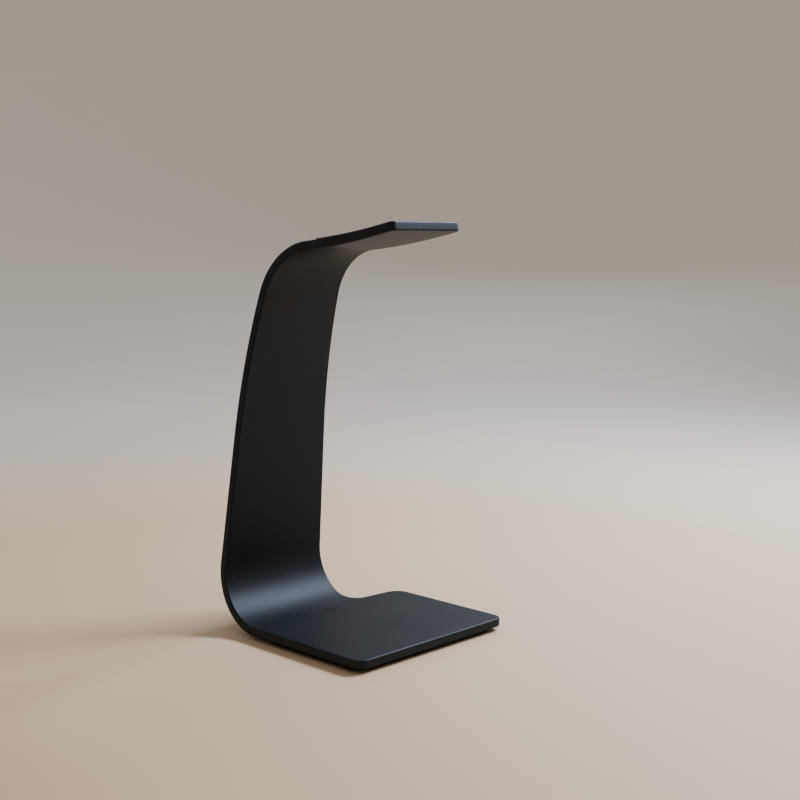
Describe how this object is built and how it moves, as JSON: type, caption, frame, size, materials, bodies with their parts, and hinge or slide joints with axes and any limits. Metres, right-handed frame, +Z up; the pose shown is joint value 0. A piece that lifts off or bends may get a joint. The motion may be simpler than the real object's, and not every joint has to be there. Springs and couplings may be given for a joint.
{
  "type": "headphone stand",
  "caption": "Desktop headphone stand bent from one coated steel plate into a C, with a wide base, an upright that leans and curves forward, and a curled arm that carries the headband.",
  "frame": {"origin": "on the standing surface, under the middle of the stand's outer box", "axes": "+Z up; the front of the base and the free end of the arm face -Y; +X is to the right seen from the front, the side on which the base steps out past the upright"},
  "size_m": [0.122, 0.1356, 0.2447],
  "materials": {
    "coated_steel": "satin black powder coat",
    "base_rubber": "matte",
    "cradle_silicone": "matte",
    "adhesive_film": "translucent tape"
  },
  "bodies": {
    "root": {"frame_plate": "coated_steel", "base_pad": "base_rubber", "base_pad_adhesive": "adhesive_film", "cradle_pad": "cradle_silicone", "cradle_pad_adhesive": "adhesive_film"}
  },
  "joints": []
}
